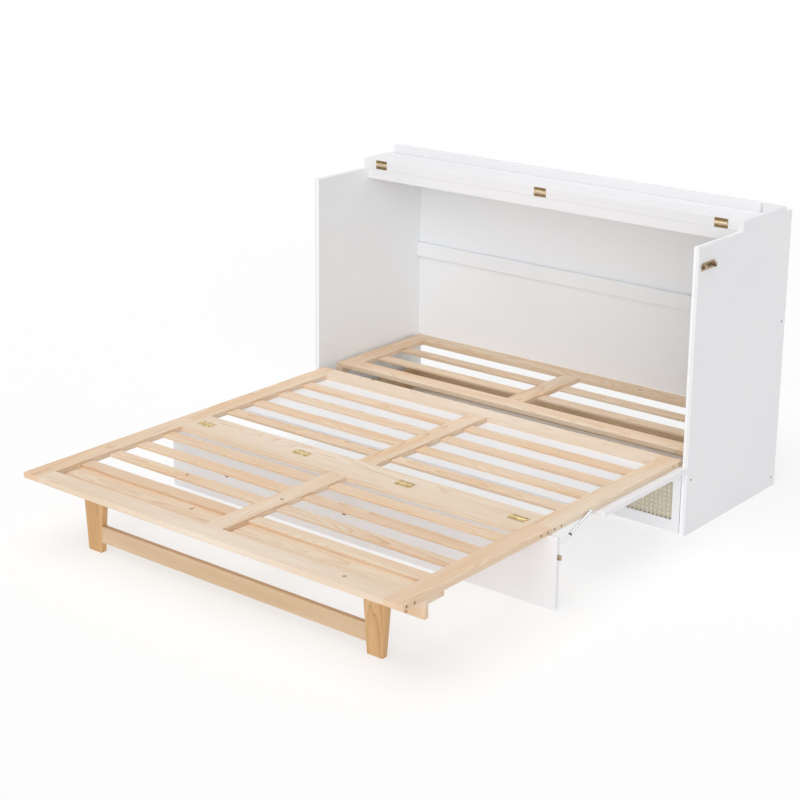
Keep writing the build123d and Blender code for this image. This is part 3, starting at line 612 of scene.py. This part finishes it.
STAY_X, STUD, FOOT = 776.5, (-532, 248), (-709, 184)
STAY_RUN = (0, FOOT[0] - STUD[0], FOOT[1] - STUD[1])
STAY_LENGTH = math.hypot(*STAY_RUN)
EYE = ((0, 0.05), (0, 4.5), (0.5, 5), (5.5, 5), (6, 4.5), (6, 0.05))
TUBE = ((3.5, 0.05), (3.5, 2.8), (5, 4.1), (8, 4.8), (10, 4.9), (117.5, 4.9), (117.5, 3.7), (14, 3.7),
        (14, 0.05))
COLLAR = ((115.5, 4.85), (115.5, 5), (115.9, 5.15), (119.4, 5.15), (119.8, 5), (119.8, 3.7), (117.6, 3.7),
          (117.6, 4.85))
ROD = ((84, 0.05), (84, 2.9), (84.4, 3.3), (STAY_LENGTH - 9, 3.3), (STAY_LENGTH - 6, 2.9),
       (STAY_LENGTH - 4, 2.9), (STAY_LENGTH - 4, 0.05))


def at_stay(side, along_x, place):
    return local(side * STAY_X + along_x, *place)


EYE_HALF = 3
stud_eyes = lathe([at_stay(side, -EYE_HALF, STUD) for side in SIDES], (1, 0, 0), EYE)
foot_eyes = lathe([at_stay(side, -EYE_HALF, FOOT) for side in SIDES], (1, 0, 0), EYE)
tubes = lathe([at_stay(side, 0, STUD) for side in SIDES], STAY_RUN, TUBE)
rods = lathe([at_stay(side, 0, STUD) for side in SIDES], STAY_RUN, ROD)
collars = lathe([at_stay(side, 0, STUD) for side in SIDES], STAY_RUN, COLLAR, loop=True)
piece("stay_tubes_polished", *together(stud_eyes, tubes), "stay_tubes", chrome, "stay_chrome",
      ("strut_tubes",))
piece("stay_rods_polished", *together(foot_eyes, rods), "stay_rods", chrome, "stay_chrome",
      ("strut_rods",))
piece("stay_collars", *collars, "stay_tubes", black_plastic(), "stay_chrome")

# Woven cane

# The pitch of the weave, half the way between the strands of a pair, a strand's width and thickness,
# the wave of a strand, and the points along a short and a long one
PITCH, PAIR = 16, 2.2
STRAND, THICK, WAVE = 2.4, 0.5, 0.32
SHORT_RUN, LONG_RUN = 41, 481
# The gap round the cane, the least way from there to a strand, and the shortest slanting one
CANE_GAP, MARGIN, SHORTEST = 0.4, 3, 4


def ribbons(paths, across, width, thickness):
    """Flat strands along paths: at each point a rectangle, width along across and thickness along y."""
    half, deep = np.array(across, float) * width / 2, np.array((0, thickness / 2, 0))
    section = np.stack((half - deep, half + deep, -half + deep, -half - deep))
    points = (paths[:, :, None, :] + section) * MM
    return points, repeat(points, skin(paths.shape[1], len(section)))


def strands(start, end, steps, phase):
    """Straight strands from start to end that wave in y, WAVE * cos(2 pi * travel / PITCH + phase)."""
    share = np.linspace(0, 1, steps)[None, :, None]
    paths = start[:, None] + (end - start)[:, None] * share
    travel = paths[..., 2] if abs(end[0, 2] - start[0, 2]) > 1 else paths[..., 0]
    paths[..., 1] += WAVE * np.cos(2 * math.pi * travel / PITCH + phase)
    return paths


cane_low, cane_high = (np.array(corner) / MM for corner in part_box("drawer_cane"))
cane_y = (cane_low[1] + cane_high[1]) / 2
(x0, _, z0), (x1, _, z1) = cane_low + CANE_GAP, cane_high - CANE_GAP
cane = cane_finish()


def lined(columns):
    """Rows of x, y, z from three columns of numbers, spread to one length."""
    return np.stack(np.broadcast_arrays(*columns), -1).astype(float)


middles = np.arange(math.ceil((x0 + MARGIN) / PITCH), math.floor((x1 - MARGIN) / PITCH) + 1) * PITCH
uprights = np.sort(np.concatenate((middles - PAIR, middles + PAIR)))
paths = strands(lined((uprights, cane_y, z0)), lined((uprights, cane_y, z1)), SHORT_RUN, 0.0)
piece("cane_uprights", *ribbons(paths, (1, 0, 0), STRAND, THICK), "drawer", cane, "cane", ("drawer_cane",))
levels = np.arange(math.ceil((z0 + MARGIN) / PITCH), math.floor((z1 - MARGIN) / PITCH) + 1) * PITCH
rows = np.sort(np.concatenate((levels - PAIR, levels + PAIR)))
paths = strands(lined((x0, cane_y, rows)), lined((x1, cane_y, rows)), LONG_RUN, math.pi)
piece("cane_rows", *ribbons(paths, (0, 0, 1), STRAND, THICK), "drawer", cane, "cane")
for name, way, phase in (("cane_rising", 1, math.pi / 2), ("cane_falling", -1, -math.pi / 2)):
    count = int((x1 - x0 + z1 - z0) / PITCH) + 2
    cuts = (np.arange(count) + math.ceil((x0 - max(way * z0, way * z1)) / PITCH)) * PITCH
    ends = (x0 - cuts) * way, (x1 - cuts) * way
    low_z, high_z = np.maximum(z0, np.minimum(*ends)), np.minimum(z1, np.maximum(*ends))
    keep = high_z - low_z > SHORTEST
    cuts, low_z, high_z = cuts[keep], low_z[keep], high_z[keep]
    paths = strands(lined((cuts + way * low_z, cane_y - 0.1 * way, low_z)),
                    lined((cuts + way * high_z, cane_y - 0.1 * way, high_z)), SHORT_RUN, phase)
    slant = np.array((1, 0, -way)) / math.sqrt(2)
    piece(name, *ribbons(paths, slant, STRAND * 0.9, THICK), "drawer", cane, "cane")
# Painted shade: a dark sheet just behind the cane darkens the holes of the weave
shade_sheet_strip = lined((np.linspace(x0, x1, 9), cane_high[1] - 0.35, (z0 + z1) / 2))[None]
piece("cane_shade_sheet", *ribbons(shade_sheet_strip, (0, 0, 1), z1 - z0, 0.4), "drawer", painted_shade_sheet(), "cane")

# Floor and light


def plain_floor(size):
    """A pale floor, wide enough to fill the picture."""
    half = size / 2
    mesh = bpy.data.meshes.new("floor")
    rim = [(-half, -half, 0), (half, -half, 0), (half, half, 0), (-half, half, 0)]
    mesh.from_pydata(rim, [], [(0, 1, 2, 3)])
    ground = bpy.data.objects.new("floor", mesh)
    bpy.context.scene.collection.objects.link(ground)
    grey, glow = (0.35, 0.35, 0.35, 1), 0.62
    mesh.materials.append(Finish("floor", Base_Color=grey, Roughness=0.9, Emission_Color=(1, 1, 1, 1),
                                 Emission_Strength=glow).material)


def lamp(name, direction, strength, spread):
    """A far, broad light that shines along direction."""
    light = bpy.data.lights.new(name, "SUN")
    light.energy = strength
    light.angle = math.radians(spread)
    holder = bpy.data.objects.new(name, light)
    bpy.context.scene.collection.objects.link(holder)
    holder.rotation_mode = "QUATERNION"
    holder.rotation_quaternion = Vector(direction).to_track_quat("-Z", "Y")


plain_floor(90)
lamp("key", (0.12, 0.2, -1), 1.66, 60)
lamp("fill", (-0.5, 0.83, -0.25), 1.5, 60)
world = bpy.data.worlds.new("studio")
world.use_nodes = True
studio = world.node_tree
backdrop = studio.nodes["Background"]
backdrop.inputs["Color"].default_value = (1, 1, 1, 1)
ray = studio.nodes.new("ShaderNodeLightPath")
seen = studio.nodes.new("ShaderNodeMath")
seen.operation = "MAXIMUM"
studio.links.new(ray.outputs["Is Camera Ray"], seen.inputs[0])
studio.links.new(ray.outputs["Is Glossy Ray"], seen.inputs[1])
SOFT_LIGHT, WALLS = 0.3, 0.96
glow = studio.nodes.new("ShaderNodeMath")
glow.operation = "MULTIPLY_ADD"
studio.links.new(seen.outputs[0], glow.inputs[0])
glow.inputs[1].default_value = WALLS - SOFT_LIGHT
glow.inputs[2].default_value = SOFT_LIGHT
studio.links.new(glow.outputs[0], backdrop.inputs["Strength"])
bpy.context.scene.world = world
bpy.context.scene.view_settings.view_transform = "Standard"
